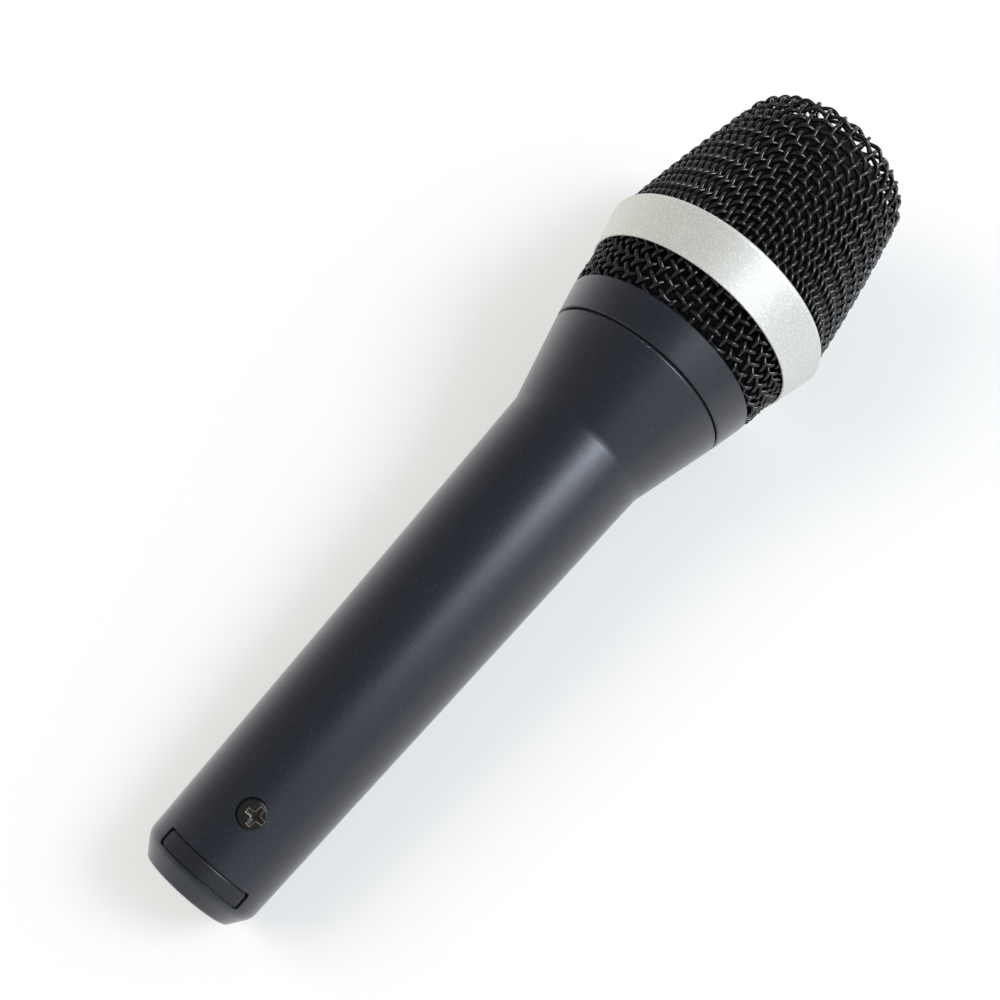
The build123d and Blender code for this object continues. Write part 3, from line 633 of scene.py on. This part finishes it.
def screw():
    """The insert's screw: a domed head with a worn cross recess, on a threaded shank."""
    s, tall, across = axis.resolve("insert_screw")
    at_s = s.mean()
    wide = np.hypot(s - at_s, across)
    top, tip, head_r = tall.max(), tall.min(), wide.max()
    head_base = tall[wide > head_r - EDGE_BAND].min()
    shank_r = wide[tall < head_base - SHANK_CLEAR].max()
    turn = np.linspace(0, 2 * math.pi, SCREW_AROUND, endpoint=False)
    ring_x, ring_y = np.cos(turn), np.sin(turn)
    verts, wear = [], []

    def put(x, y, height, worn=0.0):
        for xi, yi, hi, wi in zip(*np.broadcast_arrays(x, y, height, worn)):
            verts.append(axis.point(at_s + xi, hi, 0.0) + float(yi) * axis.across)
            wear.append(float(wi))

    put(np.zeros(1), 0.0, top - CROSS_DEPTH)
    rings = int(head_r / SCREW_GRID)
    for k in range(1, rings + 1):
        r = head_r * k / rings
        x, y = r * ring_x, r * ring_y
        fall = max(0.0, (r / head_r - CROWN_FLAT) / (1 - CROWN_FLAT))
        gap = outside_cross(x, y)
        sunk = np.clip(-gap / CROSS_WALL, 0.0, 1.0)
        floor_share = np.clip(CROSS_FLOOR - CROSS_FLOOR_RISE * r / CROSS_ARM, CROSS_FLOOR_LEAST, 1.0)
        depth = CROSS_DEPTH * (3 * sunk**2 - 2 * sunk**3) * floor_share
        worn = WEAR_MOST * np.exp(-(((gap - WEAR_OUTSIDE) / WEAR_WIDTH) ** 2))
        put(x, y, top - CROWN_DROP * fall**CROWN_POWER - depth, worn)
    # the side of the head and its underside, then a rolled thread and a chamfered tip
    put(head_r * ring_x, head_r * ring_y, head_base)
    put(shank_r * ring_x, shank_r * ring_y, head_base)
    row = THREAD_PITCH / ROWS_PER_THREAD
    for k in range(1, int((head_base - tip - TIP_LENGTH) / row)):
        height = head_base - k * row
        groove = 0.5 - 0.5 * np.cos(2 * math.pi * (height / THREAD_PITCH) + turn)
        r = shank_r - THREAD_DEPTH * groove * min(1.0, k / ROWS_PER_THREAD)
        put(r * ring_x, r * ring_y, height)
    put((shank_r - TIP_CHAMFER) * ring_x, (shank_r - TIP_CHAMFER) * ring_y, tip)
    last = len(verts)
    put(np.zeros(1), 0.0, tip)

    around = np.arange(SCREW_AROUND)
    after = (around + 1) % SCREW_AROUND
    faces = [[0, 1 + j2, 1 + j] for j, j2 in zip(around, after)]
    last_ring = last - SCREW_AROUND
    for ring in range(1, last_ring, SCREW_AROUND):
        below = ring + SCREW_AROUND
        faces += [[ring + j, ring + j2, below + j2, below + j] for j, j2 in zip(around, after)]
    faces += [[last_ring + j, last_ring + j2, last] for j, j2 in zip(around, after)]
    obj = piece("insert_screw_detail", verts, faces, "screw_black", "handle_body", ["insert_screw"])
    layer = obj.data.attributes.new("wear", "FLOAT", "POINT")
    layer.data.foreach_set("value", wear)


def plate():
    """The blank label plate with rounded corners and a soft edge, curved round the handle's end."""
    s, x, y = axis.resolve("label_plate")
    r, angle = np.hypot(x, y), np.arctan2(y, x)
    middle = math.atan2(np.sin(angle).mean(), np.cos(angle).mean())
    half_angle = np.abs((angle - middle + math.pi) % (2 * math.pi) - math.pi).max()
    s0, s1, r0, r1 = s.min(), s.max(), r.min(), r.max()
    verts, faces = [], []
    for layer in (0, 1):
        for i in range(PLATE_COLUMNS + 1):
            # columns bunch up at both ends, where the corners turn
            u = -math.cos(math.pi * i / PLATE_COLUMNS)
            from_end = half_angle * r1 * (1 - abs(u))
            dip = max(0.0, PLATE_CORNER - from_end)
            half_width = (s1 - s0) / 2 - PLATE_CORNER + math.sqrt(PLATE_CORNER**2 - dip**2)
            for j in range(PLATE_ROWS + 1):
                v = -math.cos(math.pi * j / PLATE_ROWS)
                to_edge = min(half_width * (1 - abs(v)), from_end)
                slope = 1 - min(1.0, to_edge / PLATE_BEVEL)
                top = r1 - PLATE_BEVEL * PLATE_EDGE_DROP * (1 - math.sqrt(1 - slope**2))
                at_s = (s0 + s1) / 2 + v * half_width
                verts.append(axis.point(at_s, top if layer else r0, middle + u * half_angle))
    row = PLATE_ROWS + 1
    sheet = row * (PLATE_COLUMNS + 1)
    for layer in (0, 1):
        for i in range(PLATE_COLUMNS):
            for j in range(PLATE_ROWS):
                a = layer * sheet + i * row + j
                quad = [a, a + row, a + row + 1, a + 1]
                faces.append(quad if layer else quad[::-1])
    rim = [i * row for i in range(PLATE_COLUMNS)]
    rim += [PLATE_COLUMNS * row + j for j in range(PLATE_ROWS)]
    rim += [i * row + PLATE_ROWS for i in range(PLATE_COLUMNS, 0, -1)]
    rim += range(PLATE_ROWS, 0, -1)
    faces += [[a, b, b + sheet, a + sheet] for a, b in zip(rim, rim[1:] + rim[:1])]
    piece("label_plate_detail", verts, faces, "label_black", "handle_body", ["label_plate"])


# ================================================================================================
# The microphone
# ================================================================================================
PAINTED = {
    "handle": "body_paint", "collar": "body_paint", "grille_band": "band_silver",
    "label_plate": "label_black", "insert_screw": "screw_black", "xlr_insert": "insert_plastic",
    "contact_pin_1": "contact_silver", "contact_pin_2": "contact_silver",
    "contact_pin_3": "contact_silver", "ground_spring": "spring_brass",
    "terminal_board": "board_fibre", "lead_hot": "lead_red", "lead_cold": "lead_black",
    "seal_washer": "rubber_black", "capsule_carrier": "carrier_plastic",
    "rear_suspension": "rubber_black", "front_suspension": "rubber_black",
    "rear_chamber": "chamber_plastic", "damping_felt": "felt_grey", "capsule_basket": "soft_iron",
    "yoke": "soft_iron", "magnet": "magnet_nickel", "pole_piece": "soft_iron",
    "top_plate": "soft_iron", "voice_coil": "coil_copper", "diaphragm": "membrane",
    "diaphragm_ring": "chamber_plastic", "front_cap": "cap_aluminium",
    "grille_frame": "frame_steel", "lower_grille": "mesh_black", "upper_grille": "mesh_black",
    "rear_foam": "foam_black", "grille_foam": "foam_black",
}
for name, slot in PAINTED.items():
    paint(frame["nodes"][name], slot)

upper = Meridian("upper_grille", WIRE_R + CRIMP, upper_swell)
weave("upper_grille_weave", upper, pressed_cup, upper.length[-1] + SHEET_SPARE,
      (0.0, upper.length[-1] - TRIM), UPPER_PITCH, UPPER_TURN, ["upper_grille"], "head_body")
lower = Meridian("lower_grille", WIRE_R + CRIMP, lower_swell)
weave("lower_grille_weave", lower, pressed_cone, CONE_OUTER, (TRIM, lower.length[-1] - TRIM),
      LOWER_PITCH, LOWER_TURN, ["lower_grille"], "head_body")
foam("grille_foam_liner", "grille_foam", True, GRILLE_FOAM_THICK, FOAM_CORNER_SET_BACK)
foam("rear_foam_liner", "rear_foam", False, REAR_FOAM_THICK, 0.0)
screw()
plate()


# ================================================================================================
# Studio
# ================================================================================================
def floor():
    """A wide pale sheet that the microphone lies on, glowing a little as on a light table."""
    mesh = bpy.data.meshes.new("floor")
    corners = [(-1, -1), (1, -1), (1, 1), (-1, 1)]
    mesh.from_pydata([(x * FLOOR_HALF, y * FLOOR_HALF, 0) for x, y in corners], [], [(0, 1, 2, 3)])
    obj = bpy.data.objects.new("floor", mesh)
    bpy.context.scene.collection.objects.link(obj)
    sheet = material("floor_white", (0.405, 0.405, 0.405), (0.395, 0.395, 0.395), 0.75, mottle=8,
                     grain=900, bump=0.01, specular=0.2)
    shader = sheet.node_tree.nodes["Principled BSDF"]
    shader.inputs["Emission Color"].default_value = (1.0, 0.995, 0.985, 1)
    shader.inputs["Emission Strength"].default_value = FLOOR_GLOW
    obj.data.materials.append(sheet)


def area_light(name, toward, distance, size, power, colour, mirrored=True):
    """A soft square light in the given direction from the middle of the object.

    One that isn't mirrored lights the scene but leaves no highlight.
    """
    data = bpy.data.lights.new(name, "AREA")
    data.size = size
    data.energy = power
    data.color = colour
    obj = bpy.data.objects.new(name, data)
    bpy.context.scene.collection.objects.link(obj)
    direction = Vector(toward).normalized()
    centre = (cad_low + cad_high) / 2
    obj.location = centre + direction * distance
    obj.rotation_mode = "QUATERNION"
    obj.rotation_quaternion = direction.to_track_quat("Z", "Y")
    obj.visible_glossy = mirrored


def studio():
    """The floor, a soft window on one side, a lamp on the other and a room that darkens upwards."""
    floor()
    area_light("window_core", WINDOW, WINDOW_FAR, size=0.38, power=8.5, colour=SKY_BLUE)
    area_light("window_halo", WINDOW, WINDOW_FAR, size=0.95, power=4.5, colour=SKY_BLUE)
    area_light("lamp_left", LAMP, LAMP_FAR, size=0.9, power=17.0, colour=LAMP_WARM, mirrored=False)
    world = bpy.data.worlds.new("studio")
    world.use_nodes = True
    tree = world.node_tree
    sky = tree.nodes["Background"]
    place = node(tree, "ShaderNodeTexCoord")
    lean = vector_math(tree, "DOT_PRODUCT", place.outputs["Generated"], SKY_LEAN)
    height = node(tree, "ShaderNodeMapRange")
    height.inputs["From Min"].default_value = SKY_LOW
    height.inputs["From Max"].default_value = SKY_HIGH
    tone = node(tree, "ShaderNodeMix", data_type="RGBA")
    tone.inputs["A"].default_value = (*SKY_SIDE, 1)
    tone.inputs["B"].default_value = (*SKY_TOP, 1)
    tree.links.new(lean, height.inputs["Value"])
    tree.links.new(height.outputs["Result"], tone.inputs["Factor"])
    tree.links.new(tone.outputs["Result"], sky.inputs["Color"])
    sky.inputs["Strength"].default_value = 1.0
    bpy.context.scene.world = world
    bpy.context.scene.view_settings.view_transform = "Standard"


def camera():
    """The photograph's camera."""
    data = bpy.data.cameras.new("camera")
    data.lens = LENS
    data.sensor_width = 36.0
    data.clip_start, data.clip_end = 0.01, 20.0
    obj = bpy.data.objects.new("camera", data)
    bpy.context.scene.collection.objects.link(obj)
    obj.location = CAMERA_AT
    obj.rotation_mode = "QUATERNION"
    obj.rotation_quaternion = Vector(CAMERA_LOOK).to_track_quat("-Z", "Y")
    bpy.context.scene.camera = obj


studio()
camera()
